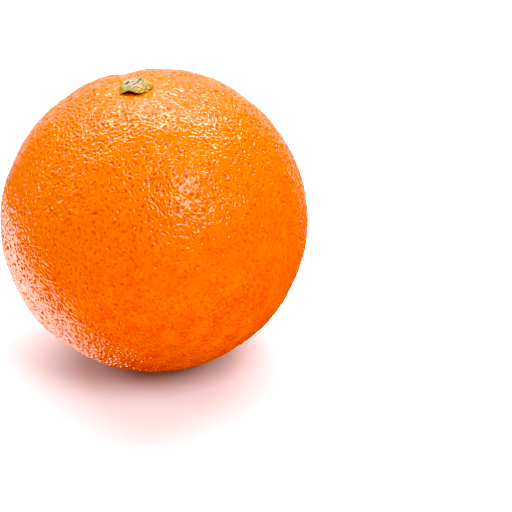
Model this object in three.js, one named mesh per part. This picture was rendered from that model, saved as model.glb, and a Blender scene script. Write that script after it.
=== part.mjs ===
// A whole sweet orange resting on a small flat spot, with its dried calyx button on the stem end.
// Millimetres, +Z up. The origin is the middle of the resting spot.
import * as THREE from "three";

// Overall form of the fruit.
const FRUIT_DIAMETER = 78; // across the widest level
const FRUIT_LENGTH = 77; // from stem end to blossom end, before the stem dimple
const GROWTH_AXIS_LEAN = THREE.MathUtils.degToRad(6.5); // stem end leans towards -X
const REST_SPOT_RADIUS = 6;

// Shallow dimple that the calyx sits in.
const DIMPLE_RADIUS = 6.5;
const DIMPLE_DEPTH = 1.2;

// Furrows that run out from the stem end and fade over the shoulder.
const FURROW_COUNT = 9;
const FURROW_DEPTH = 0.8; // of the deepest one
const FURROW_REACH = 12.5; // distance from the stem end at which a furrow is deepest
const FURROW_SPREAD = 6.5;
const FURROW_SHARPNESS = 3;
const DEEPEST_FURROW_ANGLE = THREE.MathUtils.degToRad(104);

// Broad unevenness: one shoulder stands a little higher, and the flank isn't quite round.
const SHOULDER_SWELL = 0.45;
const SHOULDER_SWELL_ANGLE = THREE.MathUtils.degToRad(40);
const SHOULDER_POLAR = THREE.MathUtils.degToRad(36);
const SHOULDER_SPREAD = THREE.MathUtils.degToRad(24);
const FLANK_SWELL = 0.25;
const FLANK_SWELL_ANGLE = THREE.MathUtils.degToRad(150);

// Calyx button: five short lobes around the cut end of the stem.
const BUTTON_RADIUS = 4.5;
const BUTTON_HEIGHT = 1.7; // at the rim of the stem scar, over the seat
const BUTTON_EDGE = 0.45; // thickness at the tips of the lobes
const LOBE_COUNT = 5;
const LOBE_REACH = 0.4; // how far a lobe stands out past the mean radius
const LOBE_ANGLE = THREE.MathUtils.degToRad(-20);
const STEM_SCAR_RADIUS = 2.75;
const STEM_SCAR_HOLLOW = 0.25;
const SEAT_GAP = 0.3; // clearance between the button and the skin

// Facets.
const SKIN_SEGMENTS = 90;
const SKIN_ROWS = 42;
const BUTTON_SEGMENTS = 40;
const BUTTON_SEAT_ROWS = 4;
const BUTTON_DOME_ROWS = 8;
const ROW_CROWDING = 0.06; // how far the skin's rows are drawn towards its two ends

// Height above zero at x, as a smooth hill of the given half-width.
function hill(x, halfWidth) {
  return Math.exp(-((x / halfWidth) ** 2));
}

// Distance from the fruit's centre to its skin. The polar angle runs from the stem end down, and the
// angle around is measured about the growth axis from +X.
function skinRadius(polar, around) {
  const across = Math.sin(polar) / (FRUIT_DIAMETER / 2);
  const along = Math.cos(polar) / (FRUIT_LENGTH / 2);
  const ellipsoid = 1 / Math.hypot(across, along);
  const fromStem = polar * ellipsoid;

  const dimple = DIMPLE_DEPTH * hill(fromStem, DIMPLE_RADIUS);

  const fromFurrow = FURROW_COUNT * (around - DEEPEST_FURROW_ANGLE);
  const valley = (0.5 + 0.5 * Math.cos(fromFurrow)) ** FURROW_SHARPNESS;
  const strength = 0.6 + 0.4 * Math.cos(around - DEEPEST_FURROW_ANGLE);
  const furrow = FURROW_DEPTH * strength * valley * hill(fromStem - FURROW_REACH, FURROW_SPREAD);

  const shoulder =
    SHOULDER_SWELL *
    Math.cos(around - SHOULDER_SWELL_ANGLE) *
    hill(polar - SHOULDER_POLAR, SHOULDER_SPREAD);
  const flank = FLANK_SWELL * Math.sin(polar) ** 2 * Math.cos(2 * (around - FLANK_SWELL_ANGLE));

  return ellipsoid - dimple - furrow + shoulder + flank;
}

// Unit vector at a polar angle from +Z and an angle around from +X.
function direction(polar, around) {
  return new THREE.Vector3(
    Math.sin(polar) * Math.cos(around),
    Math.sin(polar) * Math.sin(around),
    Math.cos(polar),
  );
}

// One closed surface from a first point, rings of equal length and a last point. Seen from outside, each
// ring runs anticlockwise about the line from the last point to the first.
function closedRings(first, rings, last) {
  const around = rings[0].length;
  const points = [first, ...rings.flat(), last];
  const lastIndex = points.length - 1;
  const faces = [];
  for (let i = 0; i < around; i++) {
    const next = (i + 1) % around;
    faces.push(0, 1 + i, 1 + next);
    for (let ring = 0; ring + 1 < rings.length; ring++) {
      const here = 1 + ring * around;
      const below = here + around;
      faces.push(here + i, below + i, below + next);
      faces.push(here + i, below + next, here + next);
    }
    const lowest = 1 + (rings.length - 1) * around;
    faces.push(lowest + next, lowest + i, lastIndex);
  }
  const geometry = new THREE.BufferGeometry().setFromPoints(points);
  geometry.setIndex(faces);
  geometry.computeVertexNormals();
  return geometry;
}

// The turns from upright to the leaning growth axis and back.
const growthTurn = new THREE.Quaternion().setFromAxisAngle(
  new THREE.Vector3(0, 1, 0),
  -GROWTH_AXIS_LEAN,
);
const uprightTurn = growthTurn.clone().invert();

// Angle from straight up to the rim of the resting spot.
const restRimPolar = Math.PI - Math.asin(REST_SPOT_RADIUS / (FRUIT_DIAMETER / 2));

// Skin point, from the fruit's centre, in the direction at these upright angles.
function skinPoint(polar, around) {
  const upright = direction(polar, around);
  const grown = upright.clone().applyQuaternion(uprightTurn);
  const grownPolar = Math.acos(THREE.MathUtils.clamp(grown.z, -1, 1));
  const radius = skinRadius(grownPolar, Math.atan2(grown.y, grown.x));
  return upright.multiplyScalar(radius);
}

// Height of the fruit's centre over the resting spot.
const centreHeight = -skinPoint(restRimPolar, 0).z;

// The fruit, ring by ring from the top down to the rim of the resting spot, which lies in the plane z = 0.
function fruitGeometry() {
  const rings = [];
  for (let row = 1; row <= SKIN_ROWS; row++) {
    const share = row / SKIN_ROWS;
    const crowded = share - ROW_CROWDING * Math.sin(2 * Math.PI * share);
    const ring = [];
    for (let i = 0; i < SKIN_SEGMENTS; i++) {
      const point = skinPoint(restRimPolar * crowded, (2 * Math.PI * i) / SKIN_SEGMENTS);
      point.z = row === SKIN_ROWS ? 0 : Math.max(point.z + centreHeight, 0);
      ring.push(point);
    }
    rings.push(ring);
  }
  const top = skinPoint(0, 0);
  top.z += centreHeight;
  return closedRings(top, rings, new THREE.Vector3(0, 0, 0));
}

// Distance of the button's edge from the growth axis.
function buttonEdgeRadius(around) {
  return BUTTON_RADIUS + LOBE_REACH * Math.cos(LOBE_COUNT * (around - LOBE_ANGLE));
}

// Height of the button's upper surface over its seat, at a distance from the growth axis.
function buttonRise(distance, edge) {
  if (distance < STEM_SCAR_RADIUS) {
    const share = distance / STEM_SCAR_RADIUS;
    return BUTTON_HEIGHT - STEM_SCAR_HOLLOW * (1 - share ** 2);
  }
  const share = (distance - STEM_SCAR_RADIUS) / (edge - STEM_SCAR_RADIUS);
  return BUTTON_EDGE + (BUTTON_HEIGHT - BUTTON_EDGE) * Math.cos((share * Math.PI) / 2);
}

// One ring of the button, in the frame of the growth axis, at a share of the way from the axis to the edge.
function buttonRing(share, rise) {
  const ring = [];
  for (let i = 0; i < BUTTON_SEGMENTS; i++) {
    const around = (2 * Math.PI * i) / BUTTON_SEGMENTS;
    const edge = buttonEdgeRadius(around);
    const distance = share * edge;
    const polar = Math.asin(distance / skinRadius(0, 0));
    const reach = skinRadius(polar, around) + SEAT_GAP + rise(distance, edge);
    ring.push(
      new THREE.Vector3(
        distance * Math.cos(around),
        distance * Math.sin(around),
        Math.sqrt(reach ** 2 - distance ** 2),
      ),
    );
  }
  return ring;
}

// The button: its domed upper surface from the middle out, then its seat back to the middle.
function buttonGeometry() {
  const flush = () => 0;
  const rings = [];
  for (let row = 1; row <= BUTTON_DOME_ROWS; row++) {
    rings.push(buttonRing(row / BUTTON_DOME_ROWS, buttonRise));
  }
  for (let row = BUTTON_SEAT_ROWS; row >= 1; row--) {
    rings.push(buttonRing(row / BUTTON_SEAT_ROWS, flush));
  }
  const seatHeight = skinRadius(0, 0) + SEAT_GAP;
  const top = new THREE.Vector3(0, 0, seatHeight + buttonRise(0, BUTTON_RADIUS));
  return closedRings(top, rings, new THREE.Vector3(0, 0, seatHeight));
}

const rind = new THREE.MeshStandardMaterial({ color: 0xf57c10, roughness: 0.42, metalness: 0 });
const calyx = new THREE.MeshStandardMaterial({ color: 0xa79b5a, roughness: 0.85, metalness: 0 });

const fruit = new THREE.Mesh(fruitGeometry(), rind);
fruit.name = "fruit";

const stemButton = new THREE.Mesh(buttonGeometry(), calyx);
stemButton.name = "stem_button";
stemButton.quaternion.copy(growthTurn);
stemButton.position.set(0, 0, centreHeight);

const group = new THREE.Group();
group.name = "orange";
group.add(fruit, stemButton);

export default group;
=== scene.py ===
"""A whole sweet orange on a pale floor: a waxy, pebbled rind with oil glands, and the dried calyx."""

import math

import bpy
import numpy as np
from mathutils import Matrix, Vector, kdtree
from mathutils.bvhtree import BVHTree


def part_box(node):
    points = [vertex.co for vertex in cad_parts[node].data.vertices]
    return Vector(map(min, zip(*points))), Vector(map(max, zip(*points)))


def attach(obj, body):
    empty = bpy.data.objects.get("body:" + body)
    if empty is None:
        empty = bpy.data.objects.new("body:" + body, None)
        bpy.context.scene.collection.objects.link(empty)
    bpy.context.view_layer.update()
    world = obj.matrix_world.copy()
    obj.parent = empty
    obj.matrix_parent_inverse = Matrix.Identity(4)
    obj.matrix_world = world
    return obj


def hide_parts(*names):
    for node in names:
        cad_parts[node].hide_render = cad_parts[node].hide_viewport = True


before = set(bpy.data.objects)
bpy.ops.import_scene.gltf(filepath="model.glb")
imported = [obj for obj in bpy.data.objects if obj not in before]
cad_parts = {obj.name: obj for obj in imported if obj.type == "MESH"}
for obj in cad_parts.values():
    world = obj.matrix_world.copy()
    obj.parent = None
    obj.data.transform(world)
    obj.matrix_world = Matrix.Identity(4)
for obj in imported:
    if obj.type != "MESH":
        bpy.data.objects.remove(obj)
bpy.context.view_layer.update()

MM = 0.001
SEED = 7

# ---------------------------------------------------------------------------------------------------------
# Places taken from the frame.
# ---------------------------------------------------------------------------------------------------------

fruit_low, fruit_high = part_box("fruit")
button_low, button_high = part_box("stem_button")
FRUIT_CENTRE = (fruit_low + fruit_high) / 2
FRUIT_RADIUS = (fruit_high.x - fruit_low.x) / 2
GROWTH_AXIS = ((button_low + button_high) / 2 - FRUIT_CENTRE).normalized()

CAD_SKIN = BVHTree.FromObject(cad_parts["fruit"], bpy.context.evaluated_depsgraph_get())

# The growth frame has its Z along the growth axis and its X as near to the row's +X as that allows.
GROWTH_X = (Vector((1, 0, 0)) - GROWTH_AXIS * GROWTH_AXIS.x).normalized()
GROWTH_Y = GROWTH_AXIS.cross(GROWTH_X)
GROWTH_TURN = Matrix((GROWTH_X, GROWTH_Y, GROWTH_AXIS)).transposed()


# ---------------------------------------------------------------------------------------------------------
# Small tools.
# ---------------------------------------------------------------------------------------------------------

def hill(x, half_width):
    return np.exp(-((x / half_width) ** 2))


WAVE_COUNT = 28
WAVE_LENGTHS = (0.75, 1.35)      # the shortest and the longest, as shares of the length asked for


def wave_field(points, wavelength, seed):
    """Random undulation of about unit strength: plane waves of much the same length, from all sides."""
    rng = np.random.default_rng(seed)
    ways = rng.normal(size=(WAVE_COUNT, 3))
    ways /= np.linalg.norm(ways, axis=1, keepdims=True)
    lengths = wavelength * rng.uniform(*WAVE_LENGTHS, WAVE_COUNT)
    phases = rng.uniform(0, 2 * math.pi, WAVE_COUNT)
    total = np.zeros(len(points))
    for way, length, phase in zip(ways, lengths, phases):
        total += np.cos(points @ way * (2 * math.pi / length) + phase)
    return total * math.sqrt(2 / WAVE_COUNT)


def vertex_points(mesh):
    flat = np.empty(len(mesh.vertices) * 3)
    mesh.vertices.foreach_get("co", flat)
    return flat.reshape(-1, 3)


def vertex_normals(mesh):
    flat = np.empty(len(mesh.vertices) * 3)
    mesh.vertex_normals.foreach_get("vector", flat)
    return flat.reshape(-1, 3)


def set_positions(mesh, points):
    mesh.vertices.foreach_set("co", points.ravel())
    mesh.update()


def store(mesh, name, values):
    """Keeps one number per vertex, for the material to read by name."""
    layer = mesh.attributes.new(name, "FLOAT", "POINT")
    layer.data.foreach_set("value", np.asarray(values, dtype=np.float32))


def add_object(name, mesh):
    obj = bpy.data.objects.new(name, mesh)
    bpy.context.scene.collection.objects.link(obj)
    return obj


# ---------------------------------------------------------------------------------------------------------
# Rind: base form.
# ---------------------------------------------------------------------------------------------------------

BASE_CELLS = 40          # along each side of the cube that is blown up to a sphere
REFINE_LEVELS = 3        # each level halves the cells
ATLAS_COLUMNS, ATLAS_ROWS = 3, 2
ATLAS_MARGIN = 0.006


def cube_sphere(cells):
    """Directions, quads and corner UVs of a cube blown up to a sphere, each side on its own square."""
    angles = np.linspace(-math.pi / 4, math.pi / 4, cells + 1)
    across, up = np.meshgrid(np.tan(angles), np.tan(angles), indexing="ij")
    column, row = np.meshgrid(np.arange(cells), np.arange(cells), indexing="ij")
    corner_steps = ((0, 0), (1, 0), (1, 1), (0, 1))
    directions, quads, uvs = [], [], []
    sides = [(axis, sign) for axis in range(3) for sign in (1, -1)]
    for side, (axis, sign) in enumerate(sides):
        grid = np.empty((cells + 1, cells + 1, 3))
        grid[..., axis] = sign
        grid[..., (axis + 1) % 3] = across * sign
        grid[..., (axis + 2) % 3] = up
        directions.append(grid.reshape(-1, 3))
        start = side * (cells + 1) ** 2
        tile = np.array((side % ATLAS_COLUMNS, side // ATLAS_COLUMNS))
        for i, j in zip(column.ravel(), row.ravel()):
            quads.append([start + (i + di) * (cells + 1) + j + dj for di, dj in corner_steps])
            for di, dj in corner_steps:
                share = np.array((i + di, j + dj)) / cells
                inside = ATLAS_MARGIN + share * (1 - 2 * ATLAS_MARGIN)
                uvs.append((tile + inside) / (ATLAS_COLUMNS, ATLAS_ROWS))
    directions = np.vstack(directions)
    directions /= np.linalg.norm(directions, axis=1, keepdims=True)
    # Neighbouring sides share the points along their edges, so each point is kept once.
    _, first, same = np.unique(directions.round(6), axis=0, return_index=True, return_inverse=True)
    return directions[first], same.ravel()[np.array(quads)], np.array(uvs)


def base_rind_mesh():
    """The CAD fruit's form on an even grid of quads, refined smoothly."""
    directions, quads, uvs = cube_sphere(BASE_CELLS)
    points = [CAD_SKIN.ray_cast(FRUIT_CENTRE, Vector(d))[0] for d in directions]
    coarse = bpy.data.meshes.new("rind_coarse")
    coarse.from_pydata(points, [], quads.tolist())
    layer = coarse.uv_layers.new(name="OFBake")
    layer.data.foreach_set("uv", uvs.ravel())
    holder = add_object("rind_coarse", coarse)
    refine = holder.modifiers.new("refine", "SUBSURF")
    refine.levels = refine.render_levels = REFINE_LEVELS
    refine.uv_smooth = "NONE"
    refined = holder.evaluated_get(bpy.context.evaluated_depsgraph_get())
    mesh = bpy.data.meshes.new_from_object(refined)
    mesh.name = "rind"
    bpy.data.objects.remove(holder)
    bpy.data.meshes.remove(coarse)
    return mesh


# ---------------------------------------------------------------------------------------------------------
# Rind: relief.
# ---------------------------------------------------------------------------------------------------------

GLAND_KINDS = (
    # spacing, pit radius and pit depth, in millimetres
    (1.08, 0.34, 0.165),
    (1.40, 0.28, 0.130),
)
GLAND_JITTER = 0.42      # of the spacing
GLAND_WARP, WARP_WAVELENGTH = 0.12, 1.3      # which makes the pits uneven in outline
GLAND_RADII = (0.7, 1.35)        # the smallest and the largest, as shares of the kind's own
GLAND_DEPTHS = (0.45, 1.3)       # the same for the depths
LIP_SHARE = 0.32         # height of the rim round a pit, as a share of its depth
LIP_DISTANCE, LIP_WIDTH = 1.7, 0.7       # in pit radii
PIT_COLOUR_WIDTH = 1.15  # in pit radii
PITS_FELT = 2            # how many of the nearest pits of a kind shape the skin at a place
UNDULATIONS = (
    # wavelength and height, in millimetres
    (16.0, 0.12),
    (6.5, 0.045),
    (2.6, 0.022),
    (1.3, 0.020),
)
WRINKLE_COUNT = 23
WRINKLE_DEPTH = 0.15
WRINKLE_REACH, WRINKLE_SPREAD = 9.0, 5.5
DRIFT, DRIFT_WAVELENGTH = 0.35, 12.0     # sideways wander of the wrinkles and of the crease
CREASE_ANGLE = math.radians(104)     # of a narrow crease along the deepest furrow
CREASE_DEPTH, CREASE_HALF_WIDTH = 0.48, 0.75
CREASE_REACH, CREASE_SPREAD = 10.0, 6.0
BUTTON_SHIFT = (-0.05, -0.80)        # of the button from the growth axis, to the right and to the back
PAINTED_SHADE_RADIUS, PAINTED_SHADE_SOFTNESS = 3.75, 0.35    # of the painted shade on the skin right under the button
REST_SOFTNESS = 0.12     # over which the skin bends onto the resting spot
BLOSSOM_SCAR = (117.0, 118.4)        # where the brown scar sets in, from the stem end along the skin


def scattered_directions(spacing, seed):
    """Directions about evenly spread over the fruit, each moved by chance, and the source of chance."""
    radius = FRUIT_RADIUS / MM
    count = int(4 * math.pi * radius**2 / spacing**2)
    index = np.arange(count) + 0.5
    polar = np.arccos(1 - 2 * index / count)
    around = math.pi * (1 + math.sqrt(5)) * index
    even = np.stack((np.cos(around) * np.sin(polar), np.sin(around) * np.sin(polar), np.cos(polar)), 1)
    rng = np.random.default_rng(seed)
    moved = even + rng.normal(size=even.shape) * (GLAND_JITTER * spacing / radius)
    return moved / np.linalg.norm(moved, axis=1, keepdims=True), rng


def gland_relief(places, spacing, pit_radius, pit_depth, seed):
    """Height and a 0 to 1 mask of one kind of gland, at places on a sphere of the fruit's size."""
    directions, rng = scattered_directions(spacing, seed)
    glands = directions * (FRUIT_RADIUS / MM)
    radii = pit_radius * rng.uniform(*GLAND_RADII, len(glands))
    depths = pit_depth * rng.uniform(*GLAND_DEPTHS, len(glands))
    tree = kdtree.KDTree(len(glands))
    for i, gland in enumerate(glands):
        tree.insert(gland, i)
    tree.balance()
    height = np.zeros(len(places))
    mask = np.zeros(len(places))
    nearest = [tree.find_n(place, PITS_FELT) for place in places]
    for rank in range(PITS_FELT):
        which = np.array([found[rank][1] for found in nearest])
        share = np.array([found[rank][2] for found in nearest]) / radii[which]
        pit = hill(share, 1.0)
        lip = LIP_SHARE * hill(share - LIP_DISTANCE, LIP_WIDTH)
        height += depths[which] * (lip - pit)
        depth_share = depths[which] / (GLAND_DEPTHS[1] * pit_depth)
        mask = np.maximum(mask, hill(share, PIT_COLOUR_WIDTH) * depth_share)
    return height, mask


def stem_coordinates(offsets):
    """Distance from the stem end along the skin in millimetres, and angle around the growth axis."""
    local = offsets @ np.array(GROWTH_TURN)
    radius = np.linalg.norm(local, axis=1)
    polar = np.arccos(np.clip(local[:, 2] / radius, -1, 1))
    return polar * radius / MM, np.arctan2(local[:, 1], local[:, 0])


def painted_shade_under_calyx(offsets):
    """1 where shade is painted on the skin right under the calyx button, falling to 0 around it."""
    local = offsets @ np.array(GROWTH_TURN) / MM
    from_middle = np.hypot(local[:, 0] - BUTTON_SHIFT[0], local[:, 1] - BUTTON_SHIFT[1])
    painted_shade = np.clip((PAINTED_SHADE_RADIUS - from_middle) / PAINTED_SHADE_SOFTNESS, 0, 1)
    on_stem_half = local[:, 2] > 0
    return painted_shade * on_stem_half


def fold_relief(places, from_stem, around):
    """Height of the wrinkles round the stem end, and of the crease along the deepest furrow."""
    drift = DRIFT * wave_field(places, DRIFT_WAVELENGTH, SEED + 20)
    folds = 0.5 + 0.5 * np.cos(WRINKLE_COUNT * around + 3 * drift)
    wrinkles = folds**2 * hill(from_stem - WRINKLE_REACH, WRINKLE_SPREAD)
    from_crease = from_stem * np.sin(around - CREASE_ANGLE) + 0.5 * drift
    on_that_side = np.cos(around - CREASE_ANGLE) > 0
    crease = hill(from_crease, CREASE_HALF_WIDTH) * hill(from_stem - CREASE_REACH, CREASE_SPREAD)
    return -WRINKLE_DEPTH * wrinkles - CREASE_DEPTH * crease * on_that_side


def sculpt_rind(mesh):
    """Adds the undulation, folds and glands to the base form, and stores what the material reads."""
    points = vertex_points(mesh)
    normals = vertex_normals(mesh)
    offsets = points - np.array(FRUIT_CENTRE)
    from_stem, around = stem_coordinates(offsets)
    places = offsets / np.linalg.norm(offsets, axis=1, keepdims=True) * (FRUIT_RADIUS / MM)

    height = fold_relief(places, from_stem, around)
    for n, (wavelength, amount) in enumerate(UNDULATIONS):
        height += amount * wave_field(places, wavelength, SEED + n)

    gland_mask = np.zeros(len(points))
    warp = np.stack([wave_field(places, WARP_WAVELENGTH, SEED + 30 + n) for n in range(3)], 1)
    warped = places + GLAND_WARP * warp
    for n, kind in enumerate(GLAND_KINDS):
        relief, mask = gland_relief(warped, *kind, SEED + 40 + n)
        height += relief
        gland_mask = np.maximum(gland_mask, mask)

    points = points + normals * (height * MM)[:, None]
    # Nothing goes below the floor, and the skin bends smoothly onto it.
    soft = REST_SOFTNESS * MM
    points[:, 2] = (points[:, 2] + np.sqrt(points[:, 2] ** 2 + soft**2)) / 2
    set_positions(mesh, points)
    store(mesh, "gland", gland_mask)
    store(mesh, "from_stem", from_stem)
    # The mask of painted shade on the skin right under the calyx button.
    store(mesh, "painted_shade_under_calyx", painted_shade_under_calyx(offsets))


def make_rind():
    mesh = base_rind_mesh()
    sculpt_rind(mesh)
    mesh.shade_smooth()
    rind = add_object("rind", mesh)
    mesh.materials.clear()
    mesh.materials.append(rind_material())
    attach(rind, "root")
    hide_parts("fruit")


# ---------------------------------------------------------------------------------------------------------
# Calyx button. Its sizes are in millimetres, in the growth frame: X to the right, Y to the back, Z out.
# ---------------------------------------------------------------------------------------------------------

BUTTON_AROUND = 160      # points in each ring
SCAR_ROWS, SKIRT_ROWS, UNDER_ROWS, NECK_ROWS = 30, 18, 10, 6
SCAR_RADIUS = 2.62       # of the cut end of the stem
SCAR_HEIGHT = 1.85       # over the skin
SCAR_HOLLOW = 0.15
SCAR_TILT = (0.05, 0.03)     # rise to the right and to the back, per millimetre
SCAR_WAVES = ((0.10, 2, 0.6), (0.05, 7, 0.0))    # in its outline: height, count around and start
SCAR_RING_HEIGHT, SCAR_RING_SPACING = 0.015, 0.62
SKIRT_REACH = 4.2        # mean distance of the skirt's edge from the growth axis
SKIRT_LONGER = 0.38      # on the front right
SKIRT_LONGER_ANGLE = math.radians(-38)
LOBE_COUNT = 5
LOBE_REACH = 0.24
LOBE_ANGLE = math.radians(0)
SKIRT_WAVES = ((0.10, 11, 1.0), (0.06, 17, 0.0))     # in its ragged outline
SKIRT_FALL = 1.15        # above 1, the skirt falls away from the scar sooner
SKIRT_RIB_HEIGHT, SKIRT_RIB_COUNT = 0.05, 23
EDGE_WAVES = ((0.06, 6, 0.0),)       # up and down along the skirt's edge
EDGE_HEIGHT = 0.20       # of the skirt's edge over the skin where it lies down
EDGE_THICKNESS = 0.26
LIFT_ANGLE = math.radians(-103)      # the side where the skirt stands off the skin
LIFT_SPREAD = math.radians(31)
LIFT_HEIGHT = 1.05
LIFT_SHORTENING = 0.45
NECK_RADIUS = 2.2
NECK_DEPTH = 0.8         # how far the neck goes into the skin
CRACKS = (
    # ends and half-width of each crack in the scar
    ((-2.1, 0.2), (-1.4, 1.2), 0.24),
    ((0.0, -0.8), (1.7, 1.4), 0.24),
)
CRACK_DEPTH = 0.30
CRACK_WANDER, CRACK_BENDS = 0.08, 3.1
BUTTON_LUMPS = (
    # wavelength and height
    (1.3, 0.035),
    (0.6, 0.015),
)


def turn_between(angles, middle):
    """Signed angles from a middle one, between -180 and 180 degrees."""
    return (angles - middle + math.pi) % (2 * math.pi) - math.pi


def waves_around(angles, waves):
    """Sum, at these angles, of waves of (height, count around, start)."""
    return sum(amount * np.cos(count * angles + start) for amount, count, start in waves)


def crack_mask(x, y):
    """1 in the middle of a crack in the scar, falling to 0 beside it."""
    mask = np.zeros(np.shape(x))
    for (x0, y0), (x1, y1), half_width in CRACKS:
        length = math.hypot(x1 - x0, y1 - y0)
        along = ((x - x0) * (x1 - x0) + (y - y0) * (y1 - y0)) / length
        across = ((y - y0) * (x1 - x0) - (x - x0) * (y1 - y0)) / length
        beyond = np.maximum(np.maximum(-along, along - length), 0)
        wander = CRACK_WANDER * np.sin(CRACK_BENDS * along + x0)
        mask = np.maximum(mask, hill(np.hypot(across - wander, beyond), half_width))
    return mask


def button_rows():
    """Each row's ring of points: angles, distance from the axis, height over the skin, and reach.

    The reach tells the parts apart: to 0.5 on the scar, 1 on the skirt, 1.5 under it, 2 down the neck.
    """
    angles = np.linspace(0, 2 * math.pi, BUTTON_AROUND, endpoint=False)
    lift = hill(turn_between(angles, LIFT_ANGLE), LIFT_SPREAD)
    scar = SCAR_RADIUS + waves_around(angles, SCAR_WAVES)
    longer = SKIRT_LONGER * np.cos(angles - SKIRT_LONGER_ANGLE)
    lobes = LOBE_REACH * np.cos(LOBE_COUNT * (angles - LOBE_ANGLE))
    ragged = waves_around(angles, SKIRT_WAVES)
    edge = SKIRT_REACH + longer + lobes + ragged - LIFT_SHORTENING * lift
    edge_height = EDGE_HEIGHT + LIFT_HEIGHT * lift + waves_around(angles, EDGE_WAVES)
    tilt = SCAR_TILT[0] * np.cos(angles) + SCAR_TILT[1] * np.sin(angles)
    rim_height = SCAR_HEIGHT + tilt * scar
    rows = []
    for share in np.arange(1, SCAR_ROWS + 1) / SCAR_ROWS:
        distance = scar * share
        height = SCAR_HEIGHT + tilt * distance - SCAR_HOLLOW * (1 - share**4)
        ring_phase = 2 * math.pi * distance / SCAR_RING_SPACING + np.cos(3 * angles)
        height += SCAR_RING_HEIGHT * np.cos(ring_phase)
        rows.append((angles, distance, height, share * 0.5))
    for share in np.arange(1, SKIRT_ROWS + 1) / SKIRT_ROWS:
        distance = scar + (edge - scar) * share
        fall = math.cos(share * math.pi / 2) ** SKIRT_FALL
        height = edge_height + (rim_height - edge_height) * fall
        ribs = np.cos(SKIRT_RIB_COUNT * angles + 4 * share)
        height += SKIRT_RIB_HEIGHT * math.sin(math.pi * share) * ribs
        rows.append((angles, distance, height, 0.5 + share * 0.5))
    for share in np.arange(1, UNDER_ROWS + 1) / UNDER_ROWS:
        distance = edge - (edge - NECK_RADIUS) * share
        under = edge_height - EDGE_THICKNESS * math.sin(min(share * 2.5, 1) * math.pi / 2)
        rows.append((angles, distance, under, 1.0 + share * 0.5))
    roof = edge_height - EDGE_THICKNESS
    for share in np.arange(1, NECK_ROWS + 1) / NECK_ROWS:
        height = roof - (roof + NECK_DEPTH) * share
        rows.append((angles, np.full(BUTTON_AROUND, NECK_RADIUS), height, 1.5 + share * 0.5))
    return rows


def ring_faces(ring_count):
    """Faces of a closed surface: a first point, rings of BUTTON_AROUND points and a last point."""
    faces = []
    lowest = 1 + (ring_count - 1) * BUTTON_AROUND
    last = lowest + BUTTON_AROUND
    for i in range(BUTTON_AROUND):
        following = (i + 1) % BUTTON_AROUND
        faces.append((0, 1 + i, 1 + following))
        for ring in range(ring_count - 1):
            here = 1 + ring * BUTTON_AROUND
            below = here + BUTTON_AROUND
            faces.append((here + i, below + i, below + following, here + following))
        faces.append((lowest + following, lowest + i, last))
    return faces


def over_skin(x, y, height):
    """The point at this height over the skin, beside the button's middle by x and y."""
    over = Vector(((x + BUTTON_SHIFT[0]) * MM, (y + BUTTON_SHIFT[1]) * MM, 2 * FRUIT_RADIUS))
    above = FRUIT_CENTRE + GROWTH_TURN @ over
    skin = CAD_SKIN.ray_cast(above, -GROWTH_AXIS)[0]
    return skin + GROWTH_AXIS * (height * MM)


def make_button():
    """The dried calyx: a scarred stem end, a lobed skirt that stands off the skin in front, a neck."""
    rows = button_rows()
    angles = np.concatenate([[0.0]] + [row[0] for row in rows] + [[0.0]])
    distance = np.concatenate([[0.0]] + [row[1] for row in rows] + [[0.0]])
    middle_height = SCAR_HEIGHT - SCAR_HOLLOW
    height = np.concatenate([[middle_height]] + [row[2] for row in rows] + [[-NECK_DEPTH]])
    reach = np.concatenate([[0.0]] + [np.full(BUTTON_AROUND, row[3]) for row in rows] + [[2.0]])
    x, y = distance * np.cos(angles), distance * np.sin(angles)

    on_scar = reach < 0.5
    on_top = reach < 1.2
    # The crack mask cuts the grooves, and the material paints their shade near black.
    crack = crack_mask(x, y) * on_scar
    flat = np.stack((x, y, height), 1)
    lumps = np.zeros(len(flat))
    for n, (wavelength, amount) in enumerate(BUTTON_LUMPS):
        lumps += amount * wave_field(flat, wavelength, SEED + 60 + n)
    height = height + lumps * on_top - CRACK_DEPTH * crack

    points = [over_skin(*place) for place in zip(x, y, height)]
    mesh = bpy.data.meshes.new("calyx_button")
    mesh.from_pydata(points, [], ring_faces(len(rows)))
    mesh.shade_smooth()
    store(mesh, "reach", reach)
    store(mesh, "crack", crack)
    mesh.materials.append(button_material())
    button = add_object("calyx_button", mesh)
    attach(button, "root")
    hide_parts("stem_button")


# ---------------------------------------------------------------------------------------------------------
# Materials.
# ---------------------------------------------------------------------------------------------------------

# Places of a mix node's colour sockets. Their names are shared with its sockets for numbers.
MIX_FIRST, MIX_SECOND = 6, 7
MIX_RESULT = 2


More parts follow.
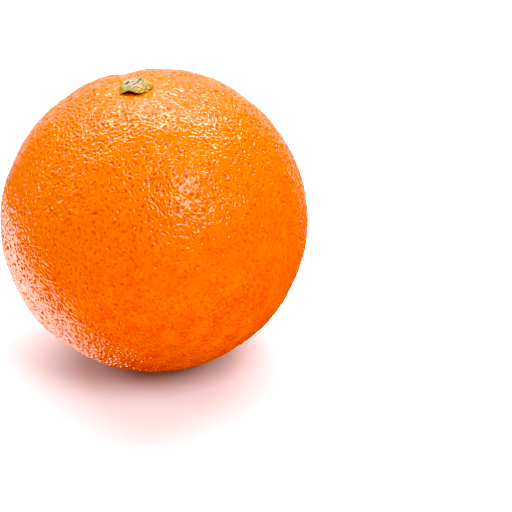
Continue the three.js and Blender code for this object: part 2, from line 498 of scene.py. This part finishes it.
class Nodes:
    """Short calls for building a tree of shader nodes."""

    def __init__(self, tree):
        self.tree = tree

    def add(self, kind, **settings):
        node = self.tree.nodes.new(kind)
        for key, value in settings.items():
            setattr(node, key, value)
        return node

    def link(self, output, socket):
        self.tree.links.new(output, socket)

    def attribute(self, name):
        return self.add("ShaderNodeAttribute", attribute_name=name).outputs["Fac"]

    def place(self):
        return self.add("ShaderNodeTexCoord").outputs["Object"]

    def noise(self, size, detail=2.0, roughness=0.5):
        """Noise with features of about this size in metres."""
        node = self.add("ShaderNodeTexNoise")
        node.inputs["Scale"].default_value = 1 / size
        node.inputs["Detail"].default_value = detail
        node.inputs["Roughness"].default_value = roughness
        self.link(self.place(), node.inputs["Vector"])
        return node.outputs["Fac"]

    def mix(self, share, first, second):
        """From the first colour to the second, by a share. A colour may also be an output."""
        node = self.add("ShaderNodeMix", data_type="RGBA")
        self.link(share, node.inputs["Factor"])
        for index, colour in ((MIX_FIRST, first), (MIX_SECOND, second)):
            if isinstance(colour, bpy.types.NodeSocket):
                self.link(colour, node.inputs[index])
            else:
                node.inputs[index].default_value = (*colour, 1)
        return node.outputs[MIX_RESULT]

    def map_range(self, value, from_low, from_high, to_low=0.0, to_high=1.0):
        node = self.add("ShaderNodeMapRange")
        numbers = (from_low, from_high, to_low, to_high)
        for socket, number in zip(list(node.inputs)[1:5], numbers):
            socket.default_value = number
        self.link(value, node.inputs[0])
        return node.outputs[0]

    def along(self, vector, way):
        """How far a vector goes one way: their dot product."""
        node = self.add("ShaderNodeVectorMath", operation="DOT_PRODUCT")
        self.link(vector, node.inputs[0])
        node.inputs[1].default_value = way
        return node.outputs["Value"]


class Surface(Nodes):
    """The nodes of a new material with one principled shader."""

    def __init__(self, name):
        self.material = bpy.data.materials.new(name)
        self.material.use_nodes = True
        super().__init__(self.material.node_tree)
        self.shader = self.tree.nodes["Principled BSDF"]

    def bump(self, height, distance, strength=1.0):
        node = self.add("ShaderNodeBump")
        node.inputs["Strength"].default_value = strength
        node.inputs["Distance"].default_value = distance
        self.link(height, node.inputs["Height"])
        self.link(node.outputs["Normal"], self.shader.inputs["Normal"])


def rind_material():
    """Waxy orange skin: redder lower down and in the gland pits, paler round the stem, and glossy."""
    nodes = Surface("rind")
    from_stem = nodes.attribute("from_stem")
    upper_tone = nodes.mix(nodes.noise(14 * MM, 3), (0.70, 0.142, 0.0012), (0.75, 0.175, 0.0015))
    patches = nodes.map_range(nodes.noise(5 * MM, 4), 0.36, 0.64)
    lower_tone = nodes.mix(patches, (0.80, 0.092, 0.0007), (0.84, 0.160, 0.0011))
    lower_down = nodes.map_range(from_stem, 35.0, 75.0)
    tone = nodes.mix(lower_down, upper_tone, lower_tone)
    flecks = nodes.map_range(nodes.noise(0.9 * MM, 2), 0.45, 0.75)
    fine_tone = nodes.mix(flecks, tone, (0.76, 0.190, 0.002))
    pit = nodes.map_range(nodes.attribute("gland"), 0.30, 0.95)
    pitted = nodes.mix(pit, fine_tone, (0.68, 0.078, 0.0006))
    near_stem = nodes.map_range(from_stem, 4.0, 11.0, 0.35, 0.0)
    colour = nodes.mix(near_stem, pitted, (0.70, 0.26, 0.01))
    # Painted shade: the skin right under the calyx button is darkened to a maroon brown.
    colour = nodes.mix(nodes.attribute("painted_shade_under_calyx"), colour, (0.66, 0.15, 0.06))
    blossom_scar = nodes.map_range(from_stem, *BLOSSOM_SCAR)
    colour = nodes.mix(blossom_scar, colour, (0.35, 0.20, 0.06))
    nodes.link(colour, nodes.shader.inputs["Base Color"])

    gloss = nodes.map_range(nodes.noise(3 * MM, 3), 0.3, 0.7, 0.06, 0.12)
    nodes.link(gloss, nodes.shader.inputs["Roughness"])
    nodes.shader.inputs["IOR"].default_value = 1.55
    nodes.shader.inputs["Subsurface Weight"].default_value = 0.12
    nodes.shader.inputs["Subsurface Radius"].default_value = (1.0, 0.35, 0.08)
    nodes.shader.inputs["Subsurface Scale"].default_value = 1.2 * MM
    nodes.bump(nodes.noise(0.8 * MM, 0), 0.03 * MM, 1.0)
    return nodes.material


def button_material():
    """Dried calyx: a pale grey-green scar, an olive and tan skirt, shade painted in cracks, a brown
    underside.
    """
    nodes = Surface("calyx")
    reach = nodes.attribute("reach")
    blotches = nodes.map_range(nodes.noise(1.1 * MM, 3, 0.6), 0.35, 0.65)
    specks = nodes.map_range(nodes.noise(0.5 * MM, 2), 0.50, 0.62)
    scar = nodes.mix(blotches, (0.19, 0.18, 0.080), (0.38, 0.34, 0.22))
    scar = nodes.mix(specks, scar, (0.52, 0.45, 0.36))
    skirt = nodes.mix(blotches, (0.26, 0.18, 0.012), (0.38, 0.29, 0.045))
    skirt = nodes.mix(specks, skirt, (0.60, 0.38, 0.16))
    scar_rim = nodes.map_range(reach, 0.47, 0.56)
    top = nodes.mix(scar_rim, scar, skirt)
    # Painted shade: the cracks in the scar are coloured near black.
    top = nodes.mix(nodes.attribute("crack"), top, (0.035, 0.040, 0.012))
    underside = nodes.map_range(reach, 1.02, 1.12)
    colour = nodes.mix(underside, top, (0.34, 0.09, 0.045))
    nodes.link(colour, nodes.shader.inputs["Base Color"])
    roughness = nodes.map_range(nodes.noise(0.8 * MM, 2), 0.3, 0.7, 0.55, 0.85)
    nodes.link(roughness, nodes.shader.inputs["Roughness"])
    nodes.shader.inputs["Specular IOR Level"].default_value = 0.3
    nodes.bump(nodes.noise(0.25 * MM, 3, 0.6), 0.12 * MM, 0.8)
    return nodes.material


# ---------------------------------------------------------------------------------------------------------
# Floor, lights and camera.
# ---------------------------------------------------------------------------------------------------------

FLOOR_RADIUS = 0.9
FLOOR_SIDES = 96
FLOOR_TONE = 0.88


def make_floor():
    mesh = bpy.data.meshes.new("floor")
    turns = np.linspace(0, 2 * math.pi, FLOOR_SIDES, endpoint=False)
    rim = [(FLOOR_RADIUS * math.cos(a), FLOOR_RADIUS * math.sin(a), 0) for a in turns]
    mesh.from_pydata(rim, [], [list(range(FLOOR_SIDES))])
    floor = add_object("floor", mesh)
    nodes = Surface("floor")
    nodes.shader.inputs["Base Color"].default_value = (FLOOR_TONE, FLOOR_TONE, FLOOR_TONE, 1)
    nodes.shader.inputs["Roughness"].default_value = 0.7
    nodes.shader.inputs["Specular IOR Level"].default_value = 0.2
    mesh.materials.append(nodes.material)
    floor.visible_glossy = False


LIGHT_TINT = (1.0, 0.94, 1.0)    # very slightly magenta, as the photograph's highlights are
SOFTBOXES = (
    # name, direction from the fruit, distance, width and height, and radiance
    ("overhead", (0.0, 0.50, 1.0), 0.9, (1.5, 0.14), 20.0),
    ("front_right", (0.39, -0.574, 0.72), 0.9, (0.42, 0.50), 7.5),
    ("left", (-0.90, 0.13, 0.42), 1.2, (0.15, 0.3), 11.0),
)


def add_softbox(name, direction, distance, size, radiance):
    """A rectangular soft light in a direction from the fruit, of about the stated radiance."""
    light = bpy.data.lights.new(name, "AREA")
    light.shape = "RECTANGLE"
    light.size, light.size_y = size
    light.energy = radiance * math.pi * size[0] * size[1]
    light.color = LIGHT_TINT
    obj = bpy.data.objects.new(name, light)
    bpy.context.scene.collection.objects.link(obj)
    way = Vector(direction).normalized()
    obj.location = FRUIT_CENTRE + way * distance
    obj.rotation_mode = "QUATERNION"
    obj.rotation_quaternion = way.to_track_quat("Z", "Y")


ROOM_SEEN = 1.2          # brightness of the room to the eye
ROOM_FILL = 0.7          # its even light on matt surfaces
ROOM_BACK = 1.0          # what gloss shows of it straight behind the fruit
BACK_WAY = (0, 1, 0)
BACK_EDGE = (0.72, 0.90)     # cosines of the angles from that way at which this sets in and is full
ROOM_LEFT = 2.6          # what gloss shows low down behind the fruit on the left
LEFT_WAY = (-0.66, 0.40, -0.64)
LEFT_EDGE = (0.86, 0.93)


def make_world():
    """A white studio room: plain to the eye, an even fill on matt skin, mostly dark in reflections."""
    world = bpy.data.worlds.new("studio")
    world.use_nodes = True
    world.cycles.sampling_method = "NONE"    # the fill is even, so no map of bright places is needed
    bpy.context.scene.world = world
    nodes = Nodes(world.node_tree)
    direction = nodes.add("ShaderNodeTexCoord").outputs["Generated"]
    back = nodes.map_range(nodes.along(direction, BACK_WAY), *BACK_EDGE, 0.0, ROOM_BACK)
    left = nodes.map_range(nodes.along(direction, LEFT_WAY), *LEFT_EDGE, 0.0, ROOM_LEFT)
    gloss = nodes.add("ShaderNodeMath", operation="ADD")
    nodes.link(back, gloss.inputs[0])
    nodes.link(left, gloss.inputs[1])
    ray = nodes.add("ShaderNodeLightPath")
    lit = nodes.mix(ray.outputs["Is Glossy Ray"], (ROOM_FILL,) * 3, gloss.outputs[0])
    seen = nodes.mix(ray.outputs["Is Camera Ray"], lit, (ROOM_SEEN,) * 3)
    nodes.link(seen, nodes.tree.nodes["Background"].inputs["Color"])
    nodes.tree.nodes["Background"].inputs["Strength"].default_value = 1


def make_lights():
    make_world()
    for softbox in SOFTBOXES:
        add_softbox(*softbox)


VIEW_ELEVATION = math.radians(27)
VIEW_DISTANCE = 0.75
FRAME_WIDTH = 1.672              # of the view at the fruit, in fruit diameters
FRUIT_LEFT, FRUIT_UP = 0.333, 0.116   # place of the fruit's centre from the view's, in fruit diameters


def make_camera():
    diameter = 2 * FRUIT_RADIUS
    back = Vector((0, -math.cos(VIEW_ELEVATION), math.sin(VIEW_ELEVATION)))
    right = Vector((1, 0, 0))
    up = back.cross(right)
    target = FRUIT_CENTRE + right * (FRUIT_LEFT * diameter) - up * (FRUIT_UP * diameter)
    data = bpy.data.cameras.new("camera")
    data.sensor_width = 36
    data.lens = data.sensor_width * VIEW_DISTANCE / (FRAME_WIDTH * diameter)
    data.clip_start, data.clip_end = 0.05, 20
    camera = bpy.data.objects.new("camera", data)
    bpy.context.scene.collection.objects.link(camera)
    camera.location = target + back * VIEW_DISTANCE
    camera.rotation_mode = "QUATERNION"
    camera.rotation_quaternion = back.to_track_quat("Z", "Y")
    bpy.context.scene.camera = camera


BLACK_POINT = 0.04
PIXEL_FILTER_WIDTH = 1.0


def set_grade():
    """A plain display with slightly deepened blacks, as in a contrasty studio picture."""
    settings = bpy.context.scene.view_settings
    settings.view_transform = "Standard"
    settings.use_curve_mapping = True
    settings.curve_mapping.black_level = (BLACK_POINT,) * 3
    settings.curve_mapping.update()


def keep_fine_texture():
    """A narrow pixel filter and a denoiser that trusts the surface's own detail keep the peel crisp."""
    cycles = bpy.context.scene.cycles
    cycles.filter_width = PIXEL_FILTER_WIDTH
    cycles.denoising_prefilter = "NONE"


# ---------------------------------------------------------------------------------------------------------
# The scene.
# ---------------------------------------------------------------------------------------------------------

make_camera()
make_rind()
make_button()
make_floor()
make_lights()
set_grade()
keep_fine_texture()
